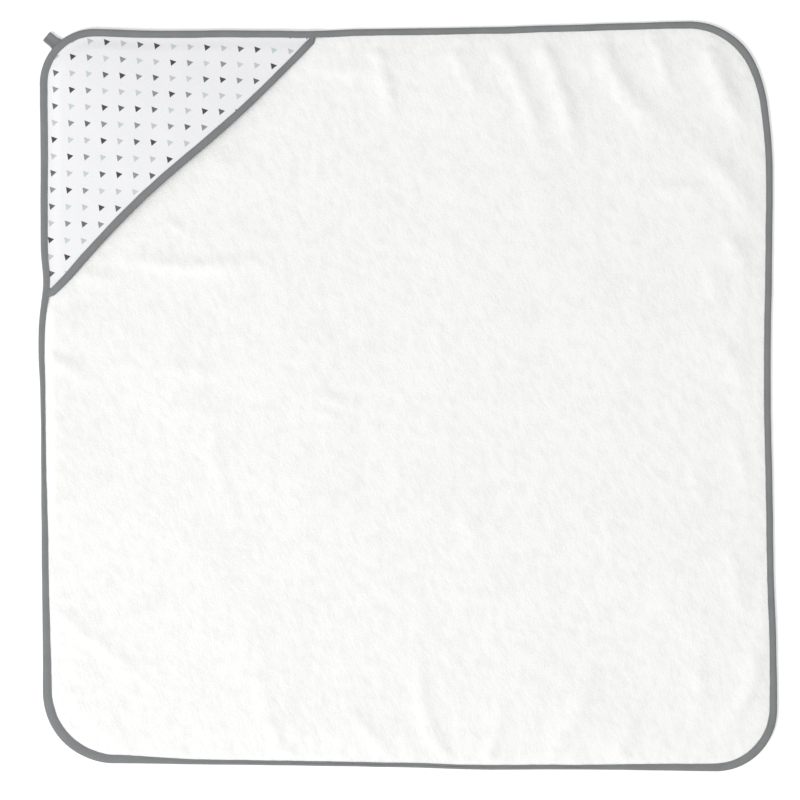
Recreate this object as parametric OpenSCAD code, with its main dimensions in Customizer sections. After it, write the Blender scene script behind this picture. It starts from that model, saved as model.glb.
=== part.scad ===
// Hooded baby towel, lying flat with its hood corner at the back left.
// X runs across the towel, Y towards the hooded end and Z up. The origin is the middle of its rest face.

/* [Towel] */
// Length of the hooded end, corner to corner
towel_w = 753; // [650:1:900]
// Length of the side that carries the hood, corner to corner
hood_side_l = 754; // [650:1:900]
// How far the far corner of the hooded end lies beyond the hood corner
top_rise = 9; // [0:1:15]
// How far the far corner of the plain end lies beyond the near one
bottom_drop = 10; // [0:1:15]
// How far the far side leans out towards the plain end
far_lean = 6; // [0:1:12]
// How far the hood's side leans in towards the plain end
near_lean = 4; // [0:1:12]
// Thickness of the terry, from loop tips to loop tips
terry_t = 3; // [2.5:0.25:5]

/* [Corners] */
// Radius of the corner under the hood
hood_corner_r = 58; // [45:1:80]
// Radius of the plain corner next to the hood
near_corner_r = 74; // [45:1:100]
// Radius of the corner opposite the hood
opposite_corner_r = 63; // [45:1:100]
// Radius of the far corner of the hooded end
far_corner_r = 88; // [45:1:100]

/* [Binding tape] */
// Width of the folded tape on each face
tape_w = 8; // [6:0.5:12]
// Thickness of the tape's cloth
tape_t = 0.5; // [0.4:0.05:0.7]
// Diameter of the sewing thread
thread_d = 0.35; // [0.2:0.05:0.4]
// Distance of the stitch line from the tape's inner edge
stitch_in = 1.4; // [1:0.1:2]

/* [Hood] */
// Distance from the corner to the hood's mouth along the end
hood_top_l = 281; // [200:1:320]
// Distance from the corner to the hood's mouth along the side
hood_side_leg = 275; // [200:1:320]
// How far the mouth swings to and fro about a straight line
mouth_wave = 4.5; // [0:0.5:8]
// Height of the pocket's slack at the middle of the mouth
hood_rise = 9; // [7:0.5:20]
// Thickness of the printed outer cloth
print_t = 0.7; // [0.5:0.1:1]
// Thickness of the hood's terry lining
lining_t = 1.4; // [1:0.1:2]

/* [Hang loop] */
// Width of the loop's tape
loop_w = 12; // [8:1:16]
// How far the loop stands out from the towel's edge
loop_l = 12.5; // [10:0.5:30]
// Direction of the loop, in degrees from the X axis
loop_dir = 136; // [125:1:145]

/* [Care label] */
// Width of the blank label along the binding
label_w = 32; // [20:1:50]
// Length of the blank label from its seam
label_l = 46; // [30:1:70]
// Thickness of the label's satin
label_t = 0.3; // [0.2:0.05:0.4]
// Distance of the label's middle from the near corner
label_from_corner = 190; // [120:1:300]

/* [Hidden] */

arc_steps = 18;
thread_h = 0.3;
air = 0.3;
fit_gap = 0.1;
thread_gap = 0.02;

// The four corners, anticlockwise from the hood's, before they are rounded
sharp = [
  [0, 0],
  [near_lean, -hood_side_l],
  [towel_w + far_lean, -hood_side_l - bottom_drop],
  [towel_w, top_rise]
];
radii = [hood_corner_r, near_corner_r, opposite_corner_r, far_corner_r];

function unit(a) = a / norm(a);
function left_of(d) = [-d.y, d.x];
function heading(d) = atan2(d.y, d.x);
function lerp(a, b, w) = a * (1 - w) + b * w;

// Direction of the side that ends at corner i, and of the one that starts there
function side_in(i) = unit(sharp[i] - sharp[(i + 3) % 4]);
function side_out(i) = unit(sharp[(i + 1) % 4] - sharp[i]);
function turn_angle(i) = (heading(side_out(i)) - heading(side_in(i)) + 720) % 360;
function raw_centre(i) =
  sharp[i] - side_in(i) * radii[i] * tan(turn_angle(i) / 2) + left_of(side_in(i)) * radii[i];
function raw_point(i, inset, w) =
  let (a = heading(-left_of(side_in(i))) + w * turn_angle(i))
  raw_centre(i) + (radii[i] - inset) * [cos(a), sin(a)];

// The middle of the rounded outline's box is moved to the origin
raw_outline = [for (i = [0:3]) for (k = [0:arc_steps]) raw_point(i, 0, k / arc_steps)];
raw_xs = [for (p = raw_outline) p.x];
raw_ys = [for (p = raw_outline) p.y];
middle = [max(raw_xs) + min(raw_xs), max(raw_ys) + min(raw_ys)] / 2;

function corner_point(i, inset, w) = raw_point(i, inset, w) - middle;
function outline(inset) = [for (i = [0:3]) for (k = [0:arc_steps]) corner_point(i, inset, k / arc_steps)];

// Heights of the seam's layers: lower tape, squeezed terry, upper tape
seam_bottom = tape_t;
seam_top = terry_t - tape_t;
stitch_inset = tape_w - stitch_in;
basting_inset = tape_w / 2;

// The hood's cloth, from its corner (v = 0) to the mouth (v = 1) and across from side to end (u = -1 to 1)
hood_inset = tape_w + air;
hood_z = terry_t + air + thread_h + thread_gap + tape_t + fit_gap + 0.1;
cloth_t = lining_t + print_t;
corner_flat = 6;
corner_v = 0.24;
hood_columns = 16;
corner_rows = 5;
straight_rows = 6;
hood_middle = raw_centre(0) - middle;
hood_r = hood_corner_r - hood_inset;
half_turn = turn_angle(0) / 2;
mid_angle = heading(-left_of(side_in(0))) + half_turn;
mouth_out = unit(-[cos(mid_angle), sin(mid_angle)]);

function straight_l(across) =
  (across < 0 ? hood_side_leg : hood_top_l) - hood_corner_r * tan(half_turn) - hood_inset;
function hood_edge(across, v) =
  let (
    turned = corner_flat + (half_turn - corner_flat) * min(v / corner_v, 1),
    a = mid_angle - across * turned,
    along = straight_l(across) * max((v - corner_v) / (1 - corner_v), 0),
    direction = across < 0 ? side_out(0) : -side_in(0)
  )
  hood_middle + hood_r * [cos(a), sin(a)] + along * direction;
function hood_plan(u, v) =
  lerp(hood_edge(-1, v), hood_edge(1, v), (1 + u) / 2) + mouth_out * mouth_wave * v * sin(180 * u);
function hood_height(u, v) = hood_z + hood_rise * (1 - u * u) * sin(90 * v);
function hood_point(u, v, lift) =
  let (p = hood_plan(u, v))
  [p.x, p.y, hood_height(u, v) + lift];

// Depth of the hood for each unit of v near the mouth, and v at a distance back from the mouth
depth_per_v = norm(hood_plan(0, 1) - hood_plan(0, 0.9)) / 0.1;
function mouth_v(back) = 1 - back / depth_per_v;

hood_rows = concat(
  [for (k = [0:corner_rows - 1]) corner_v * k / corner_rows],
  [for (k = [0:straight_rows - 1]) lerp(corner_v, mouth_v(tape_w), k / straight_rows)],
  [mouth_v(tape_w), mouth_v(tape_t + fit_gap)]
);

// A closed slab between two lifts of the hood's surface
module hood_slab(low, high) {
  rows = len(hood_rows);
  cols = hood_columns + 1;
  count = rows * cols;
  points = [
    for (lift = [low, high]) for (v = hood_rows) for (j = [0:hood_columns])
      hood_point(2 * j / hood_columns - 1, v, lift)
  ];
  faces_across = [
    for (r = [0:rows - 2]) for (j = [0:hood_columns - 1])
      let (a = r * cols + j, b = a + 1, c = a + cols, d = c + 1)
      each [[a, c, b], [b, c, d], [count + a, count + b, count + c], [count + b, count + d, count + c]]
  ];
  rim = concat(
    [for (j = [0:hood_columns]) j],
    [for (r = [1:rows - 1]) r * cols + hood_columns],
    [for (j = [1:hood_columns]) (rows - 1) * cols + hood_columns - j],
    [for (r = [1:rows - 2]) (rows - 1 - r) * cols]
  );
  faces_rim = [
    for (k = [0:len(rim) - 1])
      let (a = rim[k], b = rim[(k + 1) % len(rim)])
      each [[a, b, count + b], [a, count + b, count + a]]
  ];
  polyhedron(points, concat(faces_across, faces_rim));
}

// A bar along the mouth; its section is a list of [v, lift] pairs, and caps are the section's convex pieces
module mouth_bar(section, caps, reach) {
  steps = 24;
  n = len(section);
  points = [
    for (k = [0:steps]) for (p = section)
      hood_point(reach * (2 * k / steps - 1), p[0], p[1])
  ];
  walls = [
    for (k = [0:steps - 1]) for (j = [0:n - 1])
      let (a = k * n + j, b = k * n + (j + 1) % n)
      each [[a, b, b + n], [a, b + n, a + n]]
  ];
  near_end = [for (cap = caps) [for (j = [1:len(cap)]) cap[len(cap) - j]]];
  far_end = [for (cap = caps) [for (j = cap) steps * n + j]];
  polyhedron(points, concat(walls, near_end, far_end));
}

// A band that follows the towel's edge between two insets
module edge_ring(outer, inner) {
  difference() {
    polygon(outline(outer));
    polygon(outline(inner));
  }
}

// The groove that the tape's thread lies in
module stitch_ring() {
  edge_ring(stitch_inset - thread_d / 2, stitch_inset + thread_d / 2);
}

// A narrow strip round the hood corner, from its mouth on one side to its mouth on the other
module basting_strip() {
  lip = [for (side = [1, -1]) side * thread_d / 2];
  end_run = hood_top_l - hood_corner_r * tan(half_turn);
  side_run = hood_side_leg - hood_corner_r * tan(half_turn);
  outer = basting_edge(basting_inset + lip[1], end_run, side_run);
  inner = basting_edge(basting_inset + lip[0], end_run, side_run);
  polygon(concat(outer, [for (k = [1:len(inner)]) inner[len(inner) - k]]));
}
function basting_edge(inset, end_run, side_run) = concat(
  [corner_point(0, inset, 0) - side_in(0) * end_run],
  [for (k = [0:arc_steps]) corner_point(0, inset, k / arc_steps)],
  [corner_point(0, inset, 1) + side_out(0) * side_run]
);

// Puts a child at the label's seam, with +Y running in from the plain end
module at_label() {
  seam = sharp[1] - middle + side_out(1) * label_from_corner + left_of(side_out(1)) * (tape_w + air);
  translate([seam.x, seam.y, 0])
    rotate([0, 0, heading(side_out(1))])
      children();
}

module towel_panel() {
  label_clear = label_t + air;
  color([0.97, 0.97, 0.96])
    difference() {
      union() {
        linear_extrude(terry_t)
          polygon(outline(tape_w));
        translate([0, 0, seam_bottom])
          linear_extrude(seam_top - seam_bottom)
            polygon(outline(tape_t));
      }
      translate([0, 0, seam_top - thread_h])
        linear_extrude(thread_h + 1)
          basting_strip();
      at_label()
        translate([-label_w / 2 - 1, -air - 0.5, -1])
          cube([label_w + 2, label_l + 2, label_clear + 1.1]);
    }
}

module edge_binding() {
  color([0.53, 0.54, 0.55])
    difference() {
      union() {
        linear_extrude(tape_t)
          edge_ring(0, tape_w);
        translate([0, 0, tape_t])
          linear_extrude(terry_t - 2 * tape_t)
            edge_ring(0, tape_t);
        translate([0, 0, terry_t - tape_t])
          linear_extrude(tape_t)
            edge_ring(0, tape_w);
      }
      translate([0, 0, terry_t - thread_h / 2])
        linear_extrude(thread_h)
          stitch_ring();
      translate([0, 0, -thread_h])
        linear_extrude(2 * thread_h)
          stitch_ring();
    }
}

module edge_needle_thread() {
  color([0.47, 0.48, 0.49])
    translate([0, 0, terry_t - thread_h / 2])
      linear_extrude(thread_h)
        stitch_ring();
}

module edge_bobbin_thread() {
  color([0.47, 0.48, 0.49])
    linear_extrude(thread_h)
      stitch_ring();
}

module side_basting_thread() {
  color([0.9, 0.9, 0.9])
    translate([0, 0, seam_top - thread_h])
      linear_extrude(thread_h)
        basting_strip();
}

module hood_panel() {
  color([0.95, 0.95, 0.97])
    hood_slab(lining_t, cloth_t);
}

module hood_lining() {
  color([0.97, 0.97, 0.96])
    hood_slab(0, lining_t);
}

module mouth_binding() {
  inner_v = mouth_v(tape_w);
  wall_v = mouth_v(tape_t);
  top_in = cloth_t + fit_gap;
  bottom_in = -fit_gap;
  section = [
    [inner_v, top_in + tape_t],
    [1, top_in + tape_t],
    [1, bottom_in - tape_t],
    [inner_v, bottom_in - tape_t],
    [inner_v, bottom_in],
    [wall_v, bottom_in],
    [wall_v, top_in],
    [inner_v, top_in]
  ];
  caps = [[0, 1, 6, 7], [1, 2, 5, 6], [2, 3, 4, 5]];
  color([0.53, 0.54, 0.55])
    mouth_bar(section, caps, 1);
}

// A thread along the mouth's stitch line, between two lifts
module mouth_thread(low, high) {
  back = mouth_v(tape_w - stitch_in + thread_d / 2);
  front = mouth_v(tape_w - stitch_in - thread_d / 2);
  color([0.47, 0.48, 0.49])
    mouth_bar([[back, high], [front, high], [front, low], [back, low]], [[0, 1, 2, 3]], 0.98);
}

module mouth_needle_thread() {
  rest = cloth_t + fit_gap + tape_t + thread_gap;
  mouth_thread(rest, rest + thread_h);
}

module mouth_bobbin_thread() {
  rest = -fit_gap - tape_t - thread_gap;
  mouth_thread(rest - thread_h, rest);
}

// The loop is one tape folded on itself, with its root rounded about the line it swings on
module hang_loop() {
  leaf_t = 0.6;
  half_h = 1.2;
  root = half_h + air;
  tip = loop_l - half_h;
  slot_r = half_h - leaf_t;
  slot_start = root + 2;
  foot = hood_middle + hood_corner_r * [cos(loop_dir), sin(loop_dir)];
  color([0.53, 0.54, 0.55])
    translate([foot.x, foot.y, terry_t / 2])
      rotate([0, 0, loop_dir])
        rotate([90, 0, 0])
          linear_extrude(loop_w, center = true)
            difference() {
              union() {
                translate([root, -half_h])
                  square([tip - root, 2 * half_h]);
                translate([root, 0])
                  circle(half_h, $fn = 48);
                translate([tip, 0])
                  circle(half_h, $fn = 48);
              }
              translate([slot_start, -slot_r])
                square([tip - slot_start, 2 * slot_r]);
              translate([slot_start, 0])
                circle(slot_r, $fn = 48);
              translate([tip, 0])
                circle(slot_r, $fn = 48);
            }
}

module care_label() {
  color([0.96, 0.96, 0.96])
    at_label()
      translate([-label_w / 2, air, 0.1])
        cube([label_w, label_l, label_t]);
}

towel_panel();
edge_binding();
edge_needle_thread();
edge_bobbin_thread();
side_basting_thread();
hood_panel();
hood_lining();
mouth_binding();
mouth_needle_thread();
mouth_bobbin_thread();
hang_loop();
care_label();
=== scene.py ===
import math
import bmesh
import bpy
import numpy as np
from mathutils import Matrix, Vector, noise


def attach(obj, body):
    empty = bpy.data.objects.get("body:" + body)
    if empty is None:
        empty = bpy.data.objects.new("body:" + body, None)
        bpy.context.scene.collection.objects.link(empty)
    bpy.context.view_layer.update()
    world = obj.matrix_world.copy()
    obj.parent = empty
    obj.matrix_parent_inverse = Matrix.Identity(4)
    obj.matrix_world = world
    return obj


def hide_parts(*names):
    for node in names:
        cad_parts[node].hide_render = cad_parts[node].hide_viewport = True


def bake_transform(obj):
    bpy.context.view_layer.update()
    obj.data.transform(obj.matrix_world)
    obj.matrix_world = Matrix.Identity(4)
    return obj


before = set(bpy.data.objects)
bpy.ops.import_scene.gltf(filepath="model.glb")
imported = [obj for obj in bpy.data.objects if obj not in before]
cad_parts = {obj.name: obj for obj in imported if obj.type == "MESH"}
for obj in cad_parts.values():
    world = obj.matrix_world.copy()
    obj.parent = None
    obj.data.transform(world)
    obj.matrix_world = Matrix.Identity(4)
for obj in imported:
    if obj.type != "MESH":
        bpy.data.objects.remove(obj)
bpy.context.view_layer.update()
mm = 0.001

# the towel's outline, from the hood corner anticlockwise
outlineShape = {
    "topLength": 753 * mm,
    "hoodSideLength": 754 * mm,
    "topRise": 9 * mm,
    "bottomDrop": 10 * mm,
    "farLean": 6 * mm,
    "nearLean": 4 * mm,
    "radii": [58 * mm, 74 * mm, 63 * mm, 88 * mm],
    "arcPoints": 19,
}
# slow pulls where the cloth was handled: side, mm along it, mm outwards, half width in mm
sidePulls = [
    (0, 130, -1.0, 110),
    (0, 262, -3.0, 24),
    (0, 326, 2.2, 42),
    (0, 640, -0.6, 90),
    (1, 453, 1.6, 60),
    (2, 207, -1.4, 60),
    (2, 382, -4.2, 150),
    (2, 710, -6.8, 48),
    (3, 300, -4.0, 170),
    (3, 475, -1.2, 30),
    (3, 530, -4.2, 150),
    (3, 632, -1.4, 40),
]
pullDepth = 70 * mm


def unit(v):
    return v / np.linalg.norm(v)


def leftOf(v):
    return np.array([-v[1], v[0]])


def smooth(x):
    t = np.clip(x, 0, 1)
    return t * t * (3 - 2 * t)


def bell(x):
    return np.exp(-x * x)


def buildOutline(shape):
    length, side = shape["topLength"], shape["hoodSideLength"]
    low = -side - shape["bottomDrop"]
    sharp = [np.array(p, float) for p in (
        (0, 0), (shape["nearLean"], -side), (length + shape["farLean"], low), (length, shape["topRise"]))]
    parts = []
    for i in range(4):
        into = unit(sharp[i] - sharp[i - 1])
        out = unit(sharp[(i + 1) % 4] - sharp[i])
        turn = math.acos(float(into @ out))
        radius = shape["radii"][i]
        cut = radius * math.tan(turn / 2)
        away = -leftOf(into)
        parts.append({"sharp": sharp[i], "centre": sharp[i] - into * cut - away * radius, "radius": radius,
                      "start": math.atan2(away[1], away[0]), "turn": turn, "out": out, "cut": cut})
    rim = []
    for part in parts:
        for angle in np.linspace(part["start"], part["start"] + part["turn"], shape["arcPoints"]):
            rim.append(part["centre"] + part["radius"] * np.array([math.cos(angle), math.sin(angle)]))
    middle = (np.max(rim, axis=0) + np.min(rim, axis=0)) / 2
    dist = 0.0
    for i, part in enumerate(parts):
        part["sharp"] = part["sharp"] - middle
        part["centre"] = part["centre"] - middle
        part["arcStart"] = dist
        dist += part["radius"] * part["turn"]
        part["sideStart"] = dist
        part["sideFrom"] = part["sharp"] + part["out"] * part["cut"]
        part["sideLength"] = (np.linalg.norm(sharp[(i + 1) % 4] - sharp[i])
                              - part["cut"] - parts[(i + 1) % 4]["cut"])
        dist += part["sideLength"]
    return parts, dist


corners, rimLength = buildOutline(outlineShape)


# the point at a distance along the rim, and the direction that leaves the towel there
def rimPoint(dist, inset=0.0):
    dist = dist % rimLength
    part = [p for p in corners if p["arcStart"] <= dist][-1]
    if dist < part["sideStart"]:
        angle = part["start"] + (dist - part["arcStart"]) / part["radius"]
        away = np.array([math.cos(angle), math.sin(angle)])
        return part["centre"] + away * (part["radius"] - inset), away
    away = -leftOf(part["out"])
    return part["sideFrom"] + part["out"] * (dist - part["sideStart"]) - away * inset, away


# how far points lie in from the rim, and the distance along the rim beside them
def rimPlace(points):
    inset = np.full(len(points), np.inf)
    dist = np.zeros(len(points))
    for part in corners:
        rel = points[:, :2] - part["sideFrom"]
        along = rel @ part["out"]
        depth = rel @ leftOf(part["out"])
        near = (along >= 0) & (along <= part["sideLength"]) & (depth < inset)
        inset = np.where(near, depth, inset)
        dist = np.where(near, part["sideStart"] + along, dist)
    for part in corners:
        rel = points[:, :2] - part["centre"]
        turned = (np.arctan2(rel[:, 1], rel[:, 0]) - part["start"]) % (2 * math.pi)
        depth = part["radius"] - np.hypot(rel[:, 0], rel[:, 1])
        near = (turned <= part["turn"]) & (depth < inset)
        inset = np.where(near, depth, inset)
        dist = np.where(near, part["arcStart"] + turned * part["radius"], dist)
    return inset, dist


# the slow pulls, less and less away from the rim
def pullSides(points):
    moved = points.copy()
    for side, place, push, width in sidePulls:
        part = corners[side]
        rel = points[:, :2] - part["sharp"]
        along = rel @ part["out"] - place * mm
        depth = rel @ leftOf(part["out"])
        share = bell(along / (width * mm)) * bell(depth / pullDepth)
        moved[:, :2] -= np.outer(share * push * mm, leftOf(part["out"]))
    return moved


# the folded tape round the rim
tape = {
    "width": 7.0 * mm,
    "narrow": 4.8 * mm,  # where the fold has rolled to the underside
    "rolledSide": (355 * mm, 90 * mm),  # middle along the hood's side, reach
    "rolledEnd": (-25 * mm, 590 * mm, 120 * mm),  # from and to along the plain end, ramp
    "bends": [(0, 0.9, 210), (1, 2.9, 100), (2, 1.9, 60), (3, 1.2, 60)],  # corner, mm wider, mm of reach
    "unevenWidth": [(0.22 * mm, 9 * mm, 1), (0.25 * mm, 40 * mm, 2)],  # amount, size, seed
    "unevenHeight": [(0.22 * mm, 8 * mm, 3)],
    "unevenPlace": [(0.3 * mm, 30 * mm, 4)],
    "stations": 940,
    "cloth": 0.45 * mm,
    "height": 3.1 * mm,
    "hoodHeight": 4.2 * mm,  # over the hood's two cloths
    "mouthHeight": 2.2 * mm,  # only sets the weave round the mouth's tape
    "hoodRamp": 14 * mm,
    "knot": 1.0 * mm,  # extra height where the mouth's tape passes under
    "knotIn": 5 * mm,
    "knotReach": 8 * mm,
    "stitchIn": 1.4 * mm,
    "stitchLength": 2.5 * mm,
    "stitchPitch": 3.1 * mm,
    "threadRadius": 0.2 * mm,
    "threadFlat": 0.8,
    "threadSink": (0.12 * mm, 0.14 * mm),  # into the upper leaf, up from the ground below
}
hood = {
    "topLeg": 290 * mm,
    "sideLeg": 282.5 * mm,
    "waves": [1.3 * mm, -3.6 * mm, 0.7 * mm, 0.7 * mm],
    "reach": 0.9 * mm,
    "curl": 7.0 * mm,  # how far the mouth's ends turn in
    "curlFrom": 0.935,
    "curlNarrows": 0.6,
    "cornerShare": 0.24,  # how much of the sewn edge goes round the corner
    "mouthTape": 8.0 * mm,
    "mouthTapeLoss": 0.9 * mm,  # narrower towards the mouth's top end
    "lossFrom": 0.2,
    "lossRamp": 0.4,
    "uneven": 0.25 * mm,
    "mouthLength": 380 * mm,
    "mouthStations": 130,
    "mouthSlack": 0.05 * mm,  # air between the tape's leaves and the cloth
    "mouthEndIn": 2.4 * mm,  # how far from the rim the mouth's tape stops
    "stitches": 116,
    "stitchTo": 0.95,
    "stitchSink": 0.02 * mm,
    "rise": 5.5 * mm,
    "riseShape": 1.5,
    "tuck": 3.5 * mm,  # how far from the rim the cloth's sewn edge lies
    "tuckLeast": 3.1 * mm,
    "clothFrom": 0.015,  # share of the way from the corner to the mouth
    "clothTo": 1 - 1 / 190,
    "sewnRamp": 15 * mm,
    "sewnOver": 0.2 * mm,
    "gap": 0.08 * mm,  # between the panel and the lining, sewn and open
    "gapOpen": 0.85 * mm,
    "mouthLift": 0.1,  # share of the way where the tape's lower leaf raises the cloth
    "wrinkle": 0.5 * mm,
    "wrinkleSize": 38 * mm,
    "wrinkleFade": 0.12,
    "liningSewn": 0.7 * mm,
    "liningOpen": 1.3 * mm,
    "print": 0.4 * mm,
    "coverTo": 1.06,  # the ground under the hood, a little past the mouth
    "coverRamp": 0.08,
    "liftStart": 1.2 * mm,  # past the edge tape, where the lift begins
    "liftSoft": 15 * mm,
    "liftCorner": 90 * mm,
}
mouthSide = corners[0]["sideStart"] + hood["sideLeg"] - corners[0]["cut"]
mouthTop = rimLength - (hood["topLeg"] - corners[0]["cut"])


def rimGap(dist, place):
    return np.abs((dist - place + rimLength / 2) % rimLength - rimLength / 2)


def underHood(dist):
    fromTop = (dist - mouthTop) % rimLength
    reach = (mouthSide - mouthTop) % rimLength
    ends = smooth(fromTop / tape["hoodRamp"]) * smooth((reach - fromTop) / tape["hoodRamp"])
    return ends * (fromTop < reach)


def tapeWidth(dist):
    side = dist - corners[0]["sideStart"]
    end = dist - corners[1]["sideStart"]
    sideMiddle, sideReach = tape["rolledSide"]
    endFrom, endTo, endRamp = tape["rolledEnd"]
    rolled = bell((side - sideMiddle) / sideReach)
    rolled = rolled + smooth((end - endFrom) / endRamp) * smooth((endTo - end) / endRamp)
    width = tape["width"] - (tape["width"] - tape["narrow"]) * np.clip(rolled, 0, 1)
    for corner, extra, reach in tape["bends"]:
        part = corners[corner]
        bend = part["arcStart"] + part["radius"] * part["turn"] / 2
        width = width + extra * mm * bell(rimGap(dist, bend) / (reach * mm))
    return width


def tapeHeight(dist):
    topKnot = bell(rimGap(dist, mouthTop + tape["knotIn"]) / tape["knotReach"])
    sideKnot = bell(rimGap(dist, mouthSide - tape["knotIn"]) / tape["knotReach"])
    hoodPart = (tape["hoodHeight"] - tape["height"]) * underHood(dist)
    return tape["height"] + hoodPart + tape["knot"] * (topKnot + sideKnot)


# the creases: from x, y to x, y, sideways bow, height, half width, all in mm
creases = [
    # fan of folds towards the far corner of the hooded end
    (-30, 362, -10, 275, -2, 2.0, 8),
    (45, 362, 80, 290, 0, 1.4, 8),
    (90, 366, 140, 235, 7, 2.2, 9),
    (135, 366, 170, 235, 8, 3.0, 9),
    (195, 368, 280, 260, -12, 3.0, 11),
    (255, 368, 270, 305, 0, 1.8, 8),
    (310, 362, 355, 265, -4, 3.2, 11),
    (290, 260, 360, 170, 7, 2.6, 11),
    (240, 215, 325, 215, -2, 1.4, 7),
    # along the far side
    (320, 180, 355, 110, 3, 2.0, 9),
    (305, 140, 325, 75, 1, 1.0, 8),
    (320, 65, 350, -10, 4, 1.4, 9),
    (285, -60, 310, -130, 2, 1.0, 8),
    (350, -95, 335, -25, -1, 1.2, 8),
    (340, -220, 325, -130, -3, 1.2, 9),
    # round the far corner of the plain end
    (355, -260, 300, -355, 19, 2.6, 9),
    (290, -335, 290, -265, -11, 1.2, 8),
    # puckers along the plain end
    (-130, -370, -160, -265, 2, 1.0, 7),
    (-20, -370, -75, -300, 1, 1.2, 7),
    (40, -375, 15, -245, 14, 1.8, 8),
    (80, -375, 90, -295, -8, 1.4, 8),
    (145, -375, 195, -255, -6, 1.8, 9),
    (215, -375, 240, -300, -1, 1.4, 8),
    # rolled up a little along the hood's side
    (-368, 95, -366, -190, 0, 2.6, 42),
    # near corner
    (-365, -220, -250, -310, 2, 1.2, 8),
    (-360, -295, -285, -365, -1, 0.7, 9),
    # below the hood and down the hood's side
    (-375, 45, -315, 10, 0, 1.8, 7),
    (-260, 30, -180, 15, 3, 1.0, 6),
    (-255, -10, -190, -25, 2, 0.9, 6),
    (-345, 125, -295, 115, 1, 1.2, 7),
    (-315, 145, -120, 145, -12, 2.2, 8),
    (-200, 250, -175, 230, -3, 1.2, 6),
    (-250, 185, -225, 170, -4, 1.0, 6),
    (-105, 335, -25, 330, 5, 1.4, 9),
    # faint marks across the middle
    (-110, 5, -40, -15, 0, 1.0, 5),
    (-105, -15, -55, -25, 1, 0.8, 5),
    (-200, 0, -175, -135, -8, 0.9, 7),
    (-15, -55, 0, -100, -2, 0.8, 6),
    (45, -105, 75, -175, 4, 0.9, 7),
    (205, -115, 210, -170, -2, 0.7, 7),
]
creaseTaper = {
    "sewnReach": 40 * mm,  # a crease that begins this near the rim comes out of the tape
    "sewnStart": 0.2,
    "sewnRise": 0.12,
    "openRise": 0.4,
    "fall": 0.5,
}
terry = {
    "thickness": 3.0 * mm,
    "sewn": 1.9 * mm,  # squeezed under the tape
    "columns": 216,
    "rows": 218,
    "edgeIn": 0.9 * mm,  # from the tape's fold to the cloth's cut edge
    "sewnRamp": 5 * mm,  # from the squeezed height to the full one
    "sewnOver": 0.3 * mm,
    "pileSize": 9 * mm,
    "pileDepth": 0.30 * mm,
    "swellSize": 120 * mm,
    "swellHeight": 1.6 * mm,
    "swellShare": 0.35,
    "swellFrom": 9 * mm,  # in from the rim, like the next values
    "swellRamp": 26 * mm,
    "creaseFrom": 7 * mm,
    "creaseRamp": 8 * mm,
    "gatherSize": 13 * mm,  # small puckers that run in from the sewn tape
    "gatherHeight": 1.1 * mm,
    "gatherLength": 4,  # times the size
    "gatherReach": 26 * mm,
    "underLoss": 0.15 * mm,  # how much less the underside rises than the top
}


def bowedLine(fromX, fromY, toX, toY, bow):
    a, b = np.array([fromX, fromY]) * mm, np.array([toX, toY]) * mm
    mid = (a + b) / 2 + leftOf(unit(b - a)) * bow * mm * 2
    t = np.linspace(0, 1, 11)[:, None]
    return a * (1 - t) ** 2 + mid * 2 * t * (1 - t) + b * t * t


# height of the creases over points in the plane
def creaseHeight(points):
    height = np.zeros(len(points))
    for fromX, fromY, toX, toY, bow, rise, half in creases:
        line = bowedLine(fromX, fromY, toX, toY, bow)
        best = np.full(len(points), np.inf)
        place = np.zeros(len(points))
        for k in range(len(line) - 1):
            step = line[k + 1] - line[k]
            t = np.clip(((points[:, :2] - line[k]) @ step) / (step @ step), 0, 1)
            away = np.linalg.norm(points[:, :2] - line[k] - t[:, None] * step, axis=1)
            place = np.where(away < best, (k + t) / (len(line) - 1), place)
            best = np.minimum(best, away)
        start = place / creaseTaper["openRise"]
        if rimPlace(line[:1])[0][0] < creaseTaper["sewnReach"]:
            start = place / creaseTaper["sewnRise"] + creaseTaper["sewnStart"]
        taper = smooth(start) * smooth((1 - place) / creaseTaper["fall"])
        height += rise * mm * taper * bell(best / (half * mm))
    return height


def noiseField(points, size, seed):
    offset = Vector((seed * 17.3, seed * 5.1, seed * 9.7))
    return np.array([noise.fractal(Vector(p) / size + offset, 1.0, 2.0, 2) for p in points])


print("outline ready, rim", round(rimLength, 3), "m")


def newMesh(name, bm, material, shade=True):
    bm.normal_update()
    mesh = bpy.data.meshes.new(name)
    bm.to_mesh(mesh)
    bm.free()
    if shade:
        mesh.shade_smooth()
    mesh.materials.append(material)
    piece = bpy.data.objects.new(name, mesh)
    bpy.context.scene.collection.objects.link(piece)
    return piece


# a flat grid whose corners sit at 0..1, with the share of each vertex in both directions
def gridMesh(columns, rows):
    bm = bmesh.new()
    bmesh.ops.create_grid(bm, x_segments=columns, y_segments=rows, size=0.5)
    share = np.array([(v.co.x + 0.5, v.co.y + 0.5) for v in bm.verts])
    return bm, share


def setPoints(bm, points):
    for v, p in zip(bm.verts, points):
        v.co = p


# writes the cloth's own directions, in metres, for weaves that follow it
def clothCoords(bm, coords):
    layer = bm.loops.layers.uv.new("weave")
    for face in bm.faces:
        for loop in face.loops:
            loop[layer].uv = coords[loop.vert.index]


def newMaterial(name):
    material = bpy.data.materials.new(name)
    material.use_nodes = True
    nodes = material.node_tree.nodes
    nodes.clear()
    out = nodes.new("ShaderNodeOutputMaterial")
    shader = nodes.new("ShaderNodeBsdfPrincipled")
    material.node_tree.links.new(shader.outputs[0], out.inputs["Surface"])
    return material, shader


def setShader(shader, values):
    for name, value in values.items():
        shader.inputs[name].default_value = value


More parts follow.
